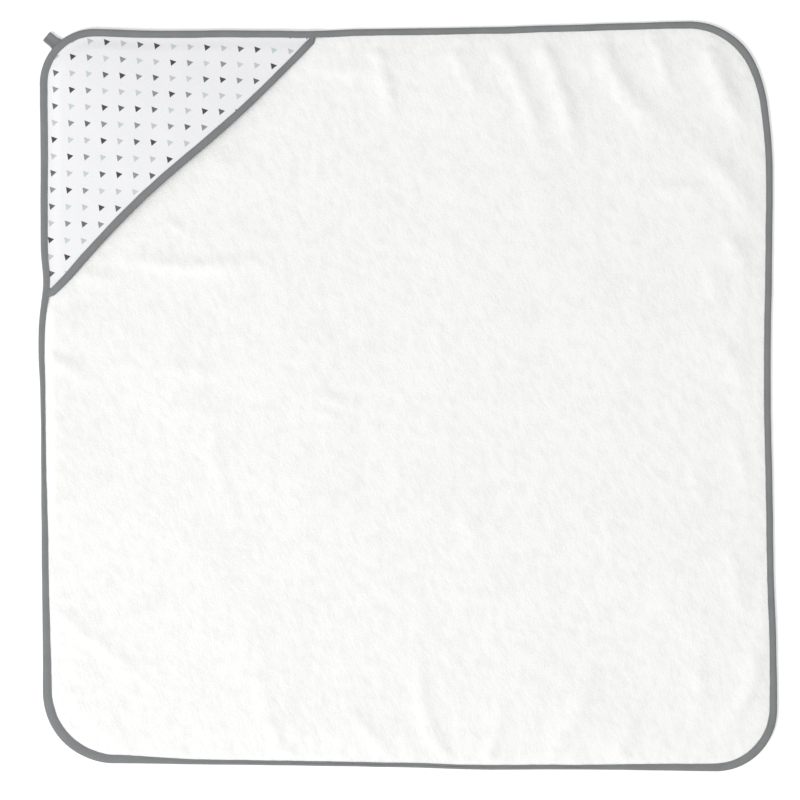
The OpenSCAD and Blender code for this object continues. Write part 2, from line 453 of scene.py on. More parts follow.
def addNode(tree, kind, inputs=(), **settings):
    node = tree.nodes.new(kind)
    for key, value in settings.items():
        setattr(node, key, value)
    for key, value in dict(inputs).items():
        if isinstance(value, bpy.types.NodeSocket):
            tree.links.new(value, node.inputs[key])
        else:
            node.inputs[key].default_value = value
    return node


def calc(tree, a, b, operation="ADD"):
    return addNode(tree, "ShaderNodeMath", {0: a, 1: b}, operation=operation).outputs[0]


# the sum of some values, each with its own share
def weighted(tree, *terms):
    total = None
    for value, share in terms:
        part = calc(tree, value, share, "MULTIPLY")
        total = part if total is None else calc(tree, total, part)
    return total


def placed(tree, source, scale=(1, 1, 1), turn=0.0):
    inputs = {"Vector": source, "Scale": scale, "Rotation": (0, 0, turn)}
    return addNode(tree, "ShaderNodeMapping", inputs).outputs[0]


def objectCoords(tree):
    return addNode(tree, "ShaderNodeTexCoord").outputs["Object"]


def weaveCoords(tree):
    return addNode(tree, "ShaderNodeUVMap", uv_map="weave").outputs[0]


def noiseNode(tree, where, scale, detail, roughness=0.5):
    inputs = {"Vector": where, "Scale": scale, "Detail": detail, "Roughness": roughness}
    return addNode(tree, "ShaderNodeTexNoise", inputs).outputs["Fac"]


def mixColours(tree, factor, low, high):
    node = addNode(tree, "ShaderNodeMix", data_type="RGBA")
    for name, value in (("Factor", factor), ("A", low), ("B", high)):
        socket = [s for s in node.inputs if s.name == name and s.enabled][0]
        if isinstance(value, bpy.types.NodeSocket):
            tree.links.new(value, socket)
        else:
            socket.default_value = value
    return [s for s in node.outputs if s.enabled][0]


def softRange(tree, value, low, high, toLow=0.0, toHigh=1.0):
    inputs = {"Value": value, "From Min": low, "From Max": high, "To Min": toLow, "To Max": toHigh}
    return addNode(tree, "ShaderNodeMapRange", inputs, interpolation_type="SMOOTHSTEP").outputs[0]


def addBump(tree, shader, height, strength, distance):
    bump = addNode(tree, "ShaderNodeBump", {"Height": height, "Strength": strength, "Distance": distance})
    tree.links.new(bump.outputs[0], shader.inputs["Normal"])


terryLook = {
    # deep is painted shade low in the pile, tips the loop tops in full light
    "deep": (0.865, 0.867, 0.855, 1),
    "tips": (0.94, 0.941, 0.932, 1),
    "loopsPerMetre": 760,
    "clumpsPerMetre": 125,
    "fuzzPerMetre": 2600,
    "napTurn": -115,
    "napStretch": 0.6,
    "tone": {"clumps": 0.7, "loops": 0.3},
    "relief": {"clumps": 1.6, "loops": 0.3, "fuzz": 0.2},
    "bump": 0.38,
    "bumpHeight": 1.2 * mm,
    "surface": {"Roughness": 0.96, "Specular IOR Level": 0.15, "Sheen Weight": 0.25, "Sheen Roughness": 0.6},
}


# looped pile: clumps that lean one way, single loops and a little fuzz
def terryMaterial(name, look):
    material, shader = newMaterial(name)
    tree = material.node_tree
    where = objectCoords(tree)
    turned = placed(tree, where, turn=math.radians(look["napTurn"]))
    nap = placed(tree, turned, scale=(look["napStretch"], 1, 1))
    clumps = noiseNode(tree, nap, look["clumpsPerMetre"], 3.0, 0.6)
    loops = addNode(tree, "ShaderNodeTexVoronoi", {
        "Vector": where, "Scale": look["loopsPerMetre"], "Randomness": 0.9}, feature="SMOOTH_F1")
    fuzz = noiseNode(tree, where, look["fuzzPerMetre"], 2.0)
    # painted shade: the colour goes from deep to tips with the same loop and clump heights that the bump
    # uses, so the pile's low places are darker; the clumps also give it an uneven mottle
    clumpTone = softRange(tree, clumps, 0.25, 0.62)
    loopTops = softRange(tree, loops.outputs["Distance"], 0.75, 0.15)
    tone = weighted(tree, (clumpTone, look["tone"]["clumps"]), (loopTops, look["tone"]["loops"]))
    tree.links.new(mixColours(tree, tone, look["deep"], look["tips"]), shader.inputs["Base Color"])
    relief = look["relief"]
    height = weighted(tree, (loopTops, relief["loops"]), (clumps, relief["clumps"]), (fuzz, relief["fuzz"]))
    addBump(tree, shader, height, look["bump"], look["bumpHeight"])
    setShader(shader, look["surface"])
    return material


tapeLook = {
    "dark": (0.164, 0.171, 0.175, 1),
    "light": (0.276, 0.286, 0.292, 1),
    "threadsPerMetre": 1700,
    "yarnPerMetre": 900,
    "patchesPerMetre": 45,
    "tone": {"weave": 0.25, "yarn": 0.35, "patches": 0.55},
    "relief": {"weave": 0.6, "yarn": 0.5},
    "foldShadeStart": 5.5 * mm,  # painted shade: the darker strip where the tape curves down round its fold, measured round the tape
    "foldShadeEnd": 9.5 * mm,
    "foldShadeSoft": 2 * mm,
    "foldShadeShare": 0.6,
    "bump": 0.4,
    "bumpHeight": 0.3 * mm,
    "surface": {"Roughness": 0.9, "Specular IOR Level": 0.2, "Sheen Weight": 0.15, "Sheen Roughness": 0.5},
}


# one set of a cloth's threads; the wave texture repeats every pi / (10 * scale) metres
def threadBands(tree, where, perMetre, way):
    inputs = {"Vector": where, "Scale": perMetre * math.pi / 10,
              "Distortion": 0.8, "Detail": 2.0, "Detail Scale": 1.5}
    return addNode(tree, "ShaderNodeTexWave", inputs, wave_type="BANDS", bands_direction=way).outputs["Fac"]


# bias-cut tape, so the threads run at 45 degrees to its length
def tapeMaterial(name, look):
    material, shader = newMaterial(name)
    tree = material.node_tree
    along = weaveCoords(tree)
    bias = placed(tree, along, turn=math.radians(45))
    weave = calc(tree, threadBands(tree, bias, look["threadsPerMetre"], "X"),
                 threadBands(tree, bias, look["threadsPerMetre"], "Y"), "MULTIPLY")
    yarn = noiseNode(tree, placed(tree, along, scale=(1, 0.4, 1)), look["yarnPerMetre"], 3.0)
    patches = noiseNode(tree, objectCoords(tree), look["patchesPerMetre"], 2.0)
    share = look["tone"]
    tone = weighted(tree, (weave, share["weave"]), (yarn, share["yarn"]), (patches, share["patches"]))
    cloth = mixColours(tree, tone, look["dark"], look["light"])
    around = addNode(tree, "ShaderNodeSeparateXYZ", {0: along}).outputs[1]
    foldShadeFrom = softRange(tree, around, look["foldShadeStart"], look["foldShadeStart"] + look["foldShadeSoft"])
    foldShadeTo = softRange(tree, around, look["foldShadeEnd"] + look["foldShadeSoft"], look["foldShadeEnd"])
    # painted shade along the fold, where the tape curves down at its outer edge
    fold = calc(tree, calc(tree, foldShadeFrom, foldShadeTo, "MULTIPLY"), look["foldShadeShare"], "MULTIPLY")
    tree.links.new(mixColours(tree, fold, cloth, look["dark"]), shader.inputs["Base Color"])
    height = weighted(tree, (weave, look["relief"]["weave"]), (yarn, look["relief"]["yarn"]))
    addBump(tree, shader, height, look["bump"], look["bumpHeight"])
    setShader(shader, look["surface"])
    return material


printLook = {
    "cloth": (0.875, 0.875, 0.89, 1),
    "clothShade": (0.835, 0.835, 0.85, 1),
    "pitch": 17.2 * mm,
    "radius": 4.2 * mm,  # from a triangle's middle to its corners
    "soft": 0.012,  # as shares of the pitch, like the wobble
    "wobble": 0.02,
    "wobblesPerMetre": 700,
    "turn": -1.8,
    "firstX": -361.5 * mm,
    "firstY": 366.5 * mm,
    "cornerTurn": -12.0,
    "threadsPerMetre": 1400,
    "bump": 0.35,
    "bumpHeight": 0.4 * mm,
    "surface": {"Roughness": 0.85, "Specular IOR Level": 0.25, "Sheen Weight": 0.1},
    "tones": {
        "dark": (0.068, 0.060, 0.064),
        "slate": (0.115, 0.145, 0.150),
        "mid": (0.270, 0.300, 0.302),
        "light": (0.560, 0.560, 0.570),
        "mint": (0.560, 0.640, 0.625),
    },
    "rows": [
        "dark mint light dark light slate",
        "light dark mid mint mid mint",
        "slate light mint slate dark mid",
        "mid dark mid mint light mint",
        "slate mint light dark slate dark",
        "light mid slate mid mint mid",
    ],
}


# one inside a cell's triangle and nothing outside it, from the place in the cell
def triangleMask(tree, where, across, down, look):
    reach = None
    for k in range(3):
        facing = math.radians(look["cornerTurn"] + 60 + 120 * k)
        edge = weighted(tree, (across, math.cos(facing)), (down, math.sin(facing)))
        reach = edge if reach is None else calc(tree, reach, edge, "MAXIMUM")
    wobble = calc(tree, noiseNode(tree, where, look["wobblesPerMetre"], 1.0), 0.5, "SUBTRACT")
    reach = calc(tree, reach, calc(tree, wobble, look["wobble"], "MULTIPLY"))
    inner = 0.5 * look["radius"] / look["pitch"]
    return softRange(tree, reach, inner + look["soft"], inner - look["soft"])


# a ramp with one flat tone for each of a row's columns
def rowTones(tree, spot, words, tones):
    node = addNode(tree, "ShaderNodeValToRGB", {"Fac": spot})
    ramp = node.color_ramp
    ramp.interpolation = "CONSTANT"
    for n, word in enumerate(words):
        stop = ramp.elements[0] if n == 0 else ramp.elements.new(n / len(words))
        stop.position = n / len(words)
        stop.color = (*tones[word], 1)
    while len(ramp.elements) > len(words):
        ramp.elements.remove(ramp.elements[-1])
    return node.outputs[0]


# the tones repeat every six columns and six rows
def triangleInk(tree, column, row, look):
    count = len(look["rows"])
    sixColumn = calc(tree, calc(tree, column, 100.0 * count), float(count), "MODULO")
    sixRow = calc(tree, calc(tree, row, 100.0 * count), float(count), "MODULO")
    middle = {0: sixColumn, 1: 1 / count, 2: 0.5 / count}
    spot = addNode(tree, "ShaderNodeMath", middle, operation="MULTIPLY_ADD").outputs[0]
    ink = rowTones(tree, spot, look["rows"][0].split(), look["tones"])
    for k in range(1, count):
        tones = rowTones(tree, spot, look["rows"][k].split(), look["tones"])
        sameRow = {0: sixRow, 1: float(k), 2: 0.5}
        onRow = addNode(tree, "ShaderNodeMath", sameRow, operation="COMPARE").outputs[0]
        ink = mixColours(tree, onRow, ink, tones)
    return ink


# plain-woven cotton with small triangles printed on a square grid
def printMaterial(name, look):
    material, shader = newMaterial(name)
    tree = material.node_tree
    flat = weaveCoords(tree)
    grid = placed(tree, flat, scale=(1 / look["pitch"],) * 3)
    split = addNode(tree, "ShaderNodeSeparateXYZ", {0: grid})
    cells, spots = [], []
    for axis in range(2):
        cell = addNode(tree, "ShaderNodeMath", {0: split.outputs[axis]}, operation="FLOOR").outputs[0]
        spot = calc(tree, calc(tree, split.outputs[axis], cell, "SUBTRACT"), 0.5, "SUBTRACT")
        cells.append(cell)
        spots.append(spot)
    inside = triangleMask(tree, flat, spots[0], spots[1], look)
    ink = triangleInk(tree, cells[0], cells[1], look)
    weft = noiseNode(tree, placed(tree, flat, scale=(1, 0.2, 1)), look["threadsPerMetre"], 2.0)
    warp = noiseNode(tree, placed(tree, flat, scale=(0.2, 1, 1)), look["threadsPerMetre"], 2.0)
    threads = calc(tree, weft, warp, "MULTIPLY")
    cloth = mixColours(tree, softRange(tree, threads, 0.12, 0.38), look["clothShade"], look["cloth"])
    faded = calc(tree, inside, softRange(tree, threads, 0.08, 0.25, 0.88, 1.0), "MULTIPLY")
    tree.links.new(mixColours(tree, faded, cloth, ink), shader.inputs["Base Color"])
    addBump(tree, shader, threads, look["bump"], look["bumpHeight"])
    setShader(shader, look["surface"])
    return material


threadLook = {
    "light": (0.9, 0.9, 0.9, 1),
    "dark": (0.78, 0.78, 0.78, 1),
    "strandsPerMetre": 2200,
    "bump": 0.4,
    "bumpHeight": 0.1 * mm,
    "surface": {"Roughness": 0.55, "Sheen Weight": 0.1},
}
greyThreadLook = {**threadLook, "light": (0.27, 0.28, 0.285, 1), "dark": (0.17, 0.175, 0.18, 1)}
satinLook = {
    "light": (0.93, 0.93, 0.94, 1),
    "dark": (0.78, 0.78, 0.79, 1),
    "strandsPerMetre": 2500,
    "drawn": 0.08,  # how much the strands are drawn out along the weave
    "bump": 0.25,
    "bumpHeight": 0.1 * mm,
    "surface": {"Roughness": 0.38, "Anisotropic": 0.4},
}


# thread, or satin when the look says how far its strands are drawn out
def strandMaterial(name, look):
    material, shader = newMaterial(name)
    tree = material.node_tree
    where = objectCoords(tree)
    if "drawn" in look:
        where = placed(tree, weaveCoords(tree), scale=(1, look["drawn"], 1))
    strands = noiseNode(tree, where, look["strandsPerMetre"], 2.0)
    tree.links.new(mixColours(tree, strands, look["dark"], look["light"]), shader.inputs["Base Color"])
    addBump(tree, shader, strands, look["bump"], look["bumpHeight"])
    setShader(shader, look["surface"])
    return material


whiteTerry = terryMaterial("white terry", terryLook)
liningTerry = terryMaterial("lining terry", {**terryLook, "loopsPerMetre": 900, "bump": 0.4})
greyTape = tapeMaterial("grey cotton tape", tapeLook)
printedCloth = printMaterial("printed white cloth", printLook)
greyThread = strandMaterial("grey thread", greyThreadLook)
whiteThread = strandMaterial("white thread", threadLook)
labelSatin = strandMaterial("white satin", satinLook)
print("materials ready")


# a blank label on the underside, caught in the seam of the plain end
label = {
    "width": 32 * mm,
    "length": 46 * mm,
    "fromCorner": 190 * mm,
    "thickness": 0.25 * mm,
    "seam": 8.3 * mm,
    "tail": 5 * mm,  # the part that is caught in the seam
    "height": 0.42 * mm,
    "settle": 0.12 * mm,
    "settleOver": 12 * mm,
    "bendFrom": -0.3 * mm,
    "bendTo": 1.2 * mm,
    "clear": 4 * mm,  # the terry is hollowed by this much round it
    "clearRamp": 3 * mm,
    "clearHeight": 0.75 * mm,
    "cells": (16, 24),
}


def labelCoords(points):
    part = corners[1]
    rel = points[:, :2] - part["sharp"]
    return rel @ part["out"] - label["fromCorner"], rel @ leftOf(part["out"]) - label["seam"]


# one over the label and nothing a little way outside it
def labelCover(points):
    across, deep = labelCoords(points)
    sides = smooth((label["width"] / 2 + label["clear"] - np.abs(across)) / label["clearRamp"])
    end = smooth((label["length"] + label["clear"] - deep) / label["clearRamp"])
    return sides * end * smooth((deep + label["clear"]) / label["clearRamp"])


# how much a point belongs to the ground that the hood covers
def hoodCover(points):
    part = corners[0]
    across = (points[:, 0] - part["sharp"][0]) / hood["topLeg"]
    down = (part["sharp"][1] - points[:, 1]) / hood["sideLeg"]
    return smooth((hood["coverTo"] - across - down) / hood["coverRamp"])


# moves points that lie too near the rim, or past it, to a set distance in from it
def keepInside(points, least):
    inset, dist = rimPlace(points)
    for k in np.nonzero(inset < least)[0]:
        points[k, :2] = rimPoint(dist[k], least)[0]
    return points


def rimCurve(fromDist, toDist, count, inset):
    return np.array([rimPoint(d, inset)[0] for d in np.linspace(fromDist, toDist, count)])


# fills the outline with a grid that runs from the middle of one corner to the next
def fillOutline(share, columns, rows, inset):
    mids = [part["arcStart"] + part["radius"] * part["turn"] / 2 for part in corners]
    leftSide = rimCurve(mids[1], mids[0], rows + 1, inset)
    lowSide = rimCurve(mids[1], mids[2], columns + 1, inset)
    rightSide = rimCurve(mids[2], mids[3], rows + 1, inset)
    topSide = rimCurve(mids[0] + rimLength, mids[3], columns + 1, inset)
    i = np.rint(share[:, 0] * columns).astype(int)
    j = np.rint(share[:, 1] * rows).astype(int)
    u, v = share[:, :1], share[:, 1:]
    return ((1 - v) * lowSide[i] + v * topSide[i] + (1 - u) * leftSide[j] + u * rightSide[j]
            - (1 - u) * (1 - v) * lowSide[0] - u * (1 - v) * lowSide[-1]
            - (1 - u) * v * topSide[0] - u * v * topSide[-1])


# small puckers that run in from the sewn tape
def gatherHeight(inset, dist):
    size = terry["gatherSize"]
    places = np.column_stack([dist / size, inset / (terry["gatherLength"] * size), 0 * inset])
    puckers = noiseField(places, 1.0, 3).clip(0, 1)
    return puckers * terry["gatherHeight"] * bell(inset / terry["gatherReach"])


# heights of the terry's two faces, pressed flat along the tape and where the hood lies on it
def panelHeights(flat):
    points = np.column_stack([flat, np.zeros(len(flat))])
    inset, dist = rimPlace(points)
    covered = hoodCover(points)
    ramp = terry["sewnRamp"] + (hood["sewnRamp"] - terry["sewnRamp"]) * covered
    full = smooth((inset - tapeWidth(dist) + terry["sewnOver"]) / ramp)
    swellShare = smooth((inset - terry["swellFrom"]) / terry["swellRamp"]) * (1 - covered)
    creaseShare = smooth((inset - terry["creaseFrom"]) / terry["creaseRamp"]) * (1 - covered)
    pile = noiseField(points, terry["pileSize"], 1) * terry["pileDepth"] * full * (1 - covered)
    swell = (noiseField(points, terry["swellSize"], 2) + terry["swellShare"]).clip(0, 1)
    lift = swell * terry["swellHeight"] * swellShare
    lift = lift + (creaseHeight(points) + gatherHeight(inset, dist)) * creaseShare
    sewnTop = tape["cloth"] + terry["sewn"]
    top = sewnTop + (terry["thickness"] - sewnTop) * full + pile + lift
    bottom = tape["cloth"] * (1 - full) + np.maximum(lift - terry["underLoss"], 0)
    return top, np.maximum(bottom, labelCover(points) * label["clearHeight"])


# two flat grids joined round their rims: the shares of each vertex, and whether it is in the upper one
def doubleGrid(columns, rows):
    bm = gridMesh(columns, rows)[0]
    made = bmesh.ops.extrude_face_region(bm, geom=bm.faces[:])
    for item in made["geom"]:
        if isinstance(item, bmesh.types.BMVert):
            item.co.z = 1.0
    bm.verts.index_update()
    grid = np.array([v.co for v in bm.verts])
    return bm, grid[:, :2] + 0.5, grid[:, 2] > 0.5


def makePanel():
    bm, share, upper = doubleGrid(terry["columns"], terry["rows"])
    flat = fillOutline(share, terry["columns"], terry["rows"], terry["edgeIn"])
    top, bottom = panelHeights(flat)
    setPoints(bm, pullSides(np.column_stack([flat, np.where(upper, top, bottom)])))
    bmesh.ops.recalc_face_normals(bm, faces=bm.faces[:])
    return newMesh("towel_terry", bm, whiteTerry)


# section of a folded tape, from the upper leaf's inner edge round the fold to the lower leaf and back inside
def tapeSection(width, height, cloth):
    upper = [
        (width, height - cloth), (width + 0.05 * mm, height - 0.28 * mm),
        (width - 0.12 * mm, height - 0.08 * mm), (width - 0.7 * mm, height),
        (width - 1.4 * mm, height - 0.16 * mm), (width - 2.1 * mm, height + 0.03 * mm),
        (0.55 * width, height + 0.14 * mm), (0.32 * width, height + 0.08 * mm),
    ]
    fold = [
        (0.15 * width, height - 0.16 * mm), (0.05 * width, height - 0.65 * mm), (0, 0.5 * height),
        (0.05 * width, 0.6 * mm), (0.15 * width, 0.12 * mm),
    ]
    lower = [
        (0.35 * width, 0), (width - 1.4 * mm, 0), (width - 0.15 * mm, 0), (width, 0.22 * mm), (width, cloth),
    ]
    inside = [
        (width - 0.8 * mm, cloth + 0.02 * mm), (0.32 * width, cloth + 0.04 * mm),
        (0.15 * width, cloth + 0.25 * mm), (0.11 * width, 0.5 * height),
        (0.15 * width, height - cloth - 0.3 * mm), (0.32 * width, height - cloth),
        (width - 0.8 * mm, height - cloth - 0.02 * mm),
    ]
    return np.array(upper + fold + lower + inside)


# joins closed rings of points into a tape, with its weave coordinates along and round it
def sweepTape(name, rings, sample, length):
    stations = len(rings) - 1
    bm, share = gridMesh(stations, len(sample))
    i = np.rint(share[:, 0] * stations).astype(int)
    j = np.rint(share[:, 1] * len(sample)).astype(int)
    sides = np.linalg.norm(np.diff(np.vstack([sample, sample[:1]]), axis=0), axis=1)
    around = np.concatenate([[0], np.cumsum(sides)])
    setPoints(bm, pullSides(rings[i, j]))
    clothCoords(bm, np.column_stack([i * length / stations, around[j]]))
    bmesh.ops.remove_doubles(bm, verts=bm.verts[:], dist=1e-7)
    openEnds = [e for e in bm.edges if e.is_boundary]
    bmesh.ops.holes_fill(bm, edges=openEnds, sides=0)
    bmesh.ops.recalc_face_normals(bm, faces=bm.faces[:])
    return newMesh(name, bm, greyTape)


# slow unevenness along the rim that meets itself after a full round
def uneven(dist, layers):
    turn = 2 * math.pi * dist / rimLength
    total = 0.0
    for amount, size, seed in layers:
        reach = rimLength / (2 * math.pi) / size
        place = Vector((math.cos(turn) * reach, math.sin(turn) * reach, seed * 7.7))
        total += amount * noise.noise(place)
    return total


def makeEdgeTape():
    rings = []
    for k in range(tape["stations"] + 1):
        dist = rimLength * (k % tape["stations"]) / tape["stations"]
        width = float(tapeWidth(dist)) + uneven(dist, tape["unevenWidth"])
        height = float(tapeHeight(dist)) + uneven(dist, tape["unevenHeight"])
        out = uneven(dist, tape["unevenPlace"])
        section = tapeSection(width, height, tape["cloth"])
        ring = [(*rimPoint(dist, inset - out)[0], z) for inset, z in section]
        rings.append(ring + ring[:1])
    sample = tapeSection(tape["width"], tape["height"], tape["cloth"])
    return sweepTape("edge_tape", np.array(rings), sample, rimLength)


# a row of short stitches, each a small capsule lying along the seam
def stitchRow(name, places, radius, material):
    single = bmesh.new()
    lying = Matrix.Rotation(math.pi / 2, 4, "Y")
    bmesh.ops.create_uvsphere(single, u_segments=6, v_segments=4, radius=1, matrix=lying)
    capsule = bpy.data.meshes.new("stitch")
    row = bmesh.new()
    for point, along, up, length in places:
        side = up.cross(along).normalized()
        turn = Matrix((along, side, along.cross(side))).transposed().to_4x4()
        size = Matrix.Diagonal((length / 2, radius, radius * tape["threadFlat"], 1))
        single.to_mesh(capsule)
        capsule.transform(Matrix.Translation(point) @ turn @ size)
        row.from_mesh(capsule)
    single.free()
    bpy.data.meshes.remove(capsule)
    bmesh.ops.recalc_face_normals(row, faces=row.faces[:])
    return newMesh(name, row, material)


# stitches along part of the rim; place gives the inset and the height at a distance
def rimStitches(name, material, place, start, end, pitch, length):
    places = []
    count = int((end - start) / pitch)
    for k in range(count):
        dist = start + (k + 0.5) * (end - start) / count
        inset, z = place(dist)
        pair = np.array([[*rimPoint(d, inset)[0], z] for d in (dist, dist + 1 * mm)])
        here, ahead = pullSides(pair)
        places.append((Vector(here), Vector(ahead - here).normalized(), Vector((0, 0, 1)), length))
    return stitchRow(name, places, tape["threadRadius"], material)


def upperSeam(dist):
    return float(tapeWidth(dist)) - tape["stitchIn"], float(tapeHeight(dist)) - tape["threadSink"][0]


def lowerSeam(dist):
    return float(tapeWidth(dist)) - tape["stitchIn"], tape["threadSink"][1]


# the hidden seam that holds the hood's sides before the tape goes on
basting = {
    "inset": 4.4 * mm,
    "height": tape["cloth"] + terry["sewn"] + 1.2 * mm,
    "pitch": 6 * mm,
    "length": 4 * mm,
    "mouthGap": 8 * mm,
}


def bastingSeam(dist):
    return basting["inset"], basting["height"]


hoodCorner = corners[0]
midAngle = hoodCorner["start"] + hoodCorner["turn"] / 2
mouthOut = -np.array([math.cos(midAngle), math.sin(midAngle)])
sideDirection = corners[0]["out"]
topDirection = -corners[3]["out"]


# points on the hood's sewn edge: along its side where across is below nothing, else along its top
def hoodEdge(across, v, inset):
    cornerShare = hood["cornerShare"]
    angle = midAngle - across * hoodCorner["turn"] / 2 * np.minimum(v / cornerShare, 1)
    leg = (hood["sideLeg"] if across < 0 else hood["topLeg"]) - hoodCorner["cut"]
    run = leg * np.maximum((v - cornerShare) / (1 - cornerShare), 0)
    edge = np.column_stack([np.cos(angle), np.sin(angle)]) * (hoodCorner["radius"] - inset)
    return hoodCorner["centre"] + edge + np.outer(run, sideDirection if across < 0 else topDirection)


# how far the mouth's two ends turn in before they go under the edge tape
def endCurl(u):
    return hood["curl"] * smooth((np.abs(u) - hood["curlFrom"]) / (1 - hood["curlFrom"]))


def mouthWidth(u):
    loss = hood["mouthTapeLoss"] * smooth((u - hood["lossFrom"]) / hood["lossRamp"])
    width = float(hood["mouthTape"] - loss - hood["curlNarrows"] * endCurl(u))
    return width + hood["uneven"] * noise.noise(Vector((u * 14, 3.3, 0)))


# the hood seen from above: u runs from -1 to 1 along the mouth, v from the corner out to the mouth
def hoodPlan(u, v):
    u, v = np.atleast_1d(u).astype(float), np.atleast_1d(v).astype(float)
    v = v + 0 * u
    w = ((1 + u) / 2)[:, None]
    edge = hoodEdge(-1, v, hood["tuck"]) * (1 - w) + hoodEdge(1, v, hood["tuck"]) * w
    bow = sum(size * np.sin(math.pi * (k + 1) * (1 + u) / 2) for k, size in enumerate(hood["waves"]))
    bow = bow + hood["reach"] - endCurl(u)
    return edge + np.outer(bow * v * v, mouthOut)


def sewnShare(plan):
    inset, dist = rimPlace(plan)
    return smooth((inset - tapeWidth(dist) + hood["sewnOver"]) / hood["sewnRamp"])


# heights of the lining's underside, the lining's top and the printed cloth's top
def hoodLayers(u, v, plan):
    full = sewnShare(plan)
    arch = (1 - u * u) ** hood["riseShape"] * np.sin(math.pi / 2 * np.minimum(v, 1))
    under = tape["cloth"] + terry["sewn"] + hood["gap"] + hood["gapOpen"] * full
    under = under + hood["rise"] * arch * full
    under = under + tape["cloth"] * smooth((v - 1 + hood["mouthLift"]) / hood["mouthLift"])
    middle = under + hood["liningSewn"] + (hood["liningOpen"] - hood["liningSewn"]) * full
    return under, middle, middle + hood["print"]


# where points fall on the print, with its grid turned a little against the towel
def printCoords(plan):
    turn = math.radians(-printLook["turn"])
    fromX = plan[:, 0] - printLook["firstX"]
    fromY = plan[:, 1] - printLook["firstY"]
    half = 0.5 * printLook["pitch"]
    return np.column_stack([
        fromX * math.cos(turn) - fromY * math.sin(turn) + half,
        half - fromX * math.sin(turn) - fromY * math.cos(turn),
    ])


# one of the hood's cloths, between two neighbouring heights of hoodLayers
def hoodCloth(name, material, layer, cells):
    bm, share, upper = doubleGrid(cells, cells)
    u = 2 * share[:, 0] - 1
    v = hood["clothFrom"] + (hood["clothTo"] - hood["clothFrom"]) * share[:, 1]
    plan = keepInside(hoodPlan(u, v), hood["tuckLeast"])
    layers = hoodLayers(u, v, plan)
    ripple = noiseField(np.column_stack([plan, 0 * u]), hood["wrinkleSize"], 1) * hood["wrinkle"]
    ripple = ripple * sewnShare(plan) * smooth((1 - v) / hood["wrinkleFade"])
    z = np.where(upper, layers[layer + 1], layers[layer]) + ripple
    setPoints(bm, pullSides(np.column_stack([plan, z])))
    clothCoords(bm, printCoords(plan))
    bmesh.ops.recalc_face_normals(bm, faces=bm.faces[:])
    return newMesh(name, bm, material)


# a point of the mouth's edge, the direction along it, and the heights of the cloths' under and upper face
def mouthFrame(u):
    step = 0.01
    behind, here, ahead = hoodPlan([max(u - step, -1), u, min(u + step, 1)], 1)
    layers = hoodLayers(np.array([u]), np.array([1]), here[None])
    return here, unit(ahead - behind), float(layers[0][0]), float(layers[-1][0])


def makeMouthTape():
    rings = []
    for k in range(hood["mouthStations"] + 1):
        u = -1 + 2 * k / hood["mouthStations"]
        here, along, under, top = mouthFrame(u)
        lowest = under - tape["cloth"] - hood["mouthSlack"]
        height = top - under + 2 * (tape["cloth"] + hood["mouthSlack"])
        section = tapeSection(mouthWidth(u), height, tape["cloth"])
        ring = [(*(here + leftOf(along) * depth), lowest + z) for depth, z in section]
        rings.append(ring + ring[:1])
    rings = np.array(rings)
    inside = keepInside(rings.reshape(-1, 3), hood["mouthEndIn"]).reshape(rings.shape)
    sample = tapeSection(tape["width"], tape["mouthHeight"], tape["cloth"])
    return sweepTape("mouth_tape", inside, sample, hood["mouthLength"])


def mouthStitches(name, upper):
    places = []
    for k in range(hood["stitches"]):
        u = hood["stitchTo"] * (2 * (k + 0.5) / hood["stitches"] - 1)
        here, along, under, top = mouthFrame(u)
        plan = here + leftOf(along) * (mouthWidth(u) - tape["stitchIn"])
        z = under - tape["cloth"] - hood["mouthSlack"]
        if upper:
            z = top + tape["cloth"] - hood["stitchSink"]
        spot = pullSides(np.array([[*plan, z]]))[0]
        places.append((Vector(spot), Vector((*along, 0)), Vector((0, 0, 1)), tape["stitchLength"]))
    return stitchRow(name, places, tape["threadRadius"], greyThread)


def liftWith(piece):
    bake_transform(piece)


# gives a sheet of single faces its thickness
def thickSheet(name, bm, points, coords, thickness, material):
    setPoints(bm, points)
    clothCoords(bm, coords)
    bmesh.ops.solidify(bm, geom=bm.faces[:], thickness=thickness)
    bmesh.ops.recalc_face_normals(bm, faces=bm.faces[:])
    return newMesh(name, bm, material)


loop = {
    "width": 11.8 * mm,
    "length": 12.8 * mm,
    "thickness": 0.5 * mm,
    "gap": 0.8 * mm,  # between its two leaves
    "tail": 5.0 * mm,  # the part that is caught in the edge tape
    "direction": 141.5,
    "foot": 134.6,
    "height": 1.6 * mm,
    "flare": 0.15,  # wider where it joins the edge
    "rounding": 0.1,  # narrower at its tip
    "squeeze": 0.35,  # flatter where it joins the edge
    "rootStart": 0.5 * mm,
    "rootLength": 4 * mm,
    "tipLength": 2 * mm,
    "bow": 0.25 * mm,
    "bowOver": 8 * mm,
    "cells": (56, 8),
}


# how far out the folded strip is, and how high, after a run along it
def loopFold(run):
    half = (loop["gap"] + loop["thickness"]) / 2
    past = run - (loop["length"] + loop["tail"] - half)
    if past < 0:
        return run - loop["tail"], -half
    if past < math.pi * half:
        turn = past / half
        return loop["length"] - half + math.sin(turn) * half, -math.cos(turn) * half
    return loop["length"] - half - (past - math.pi * half), half


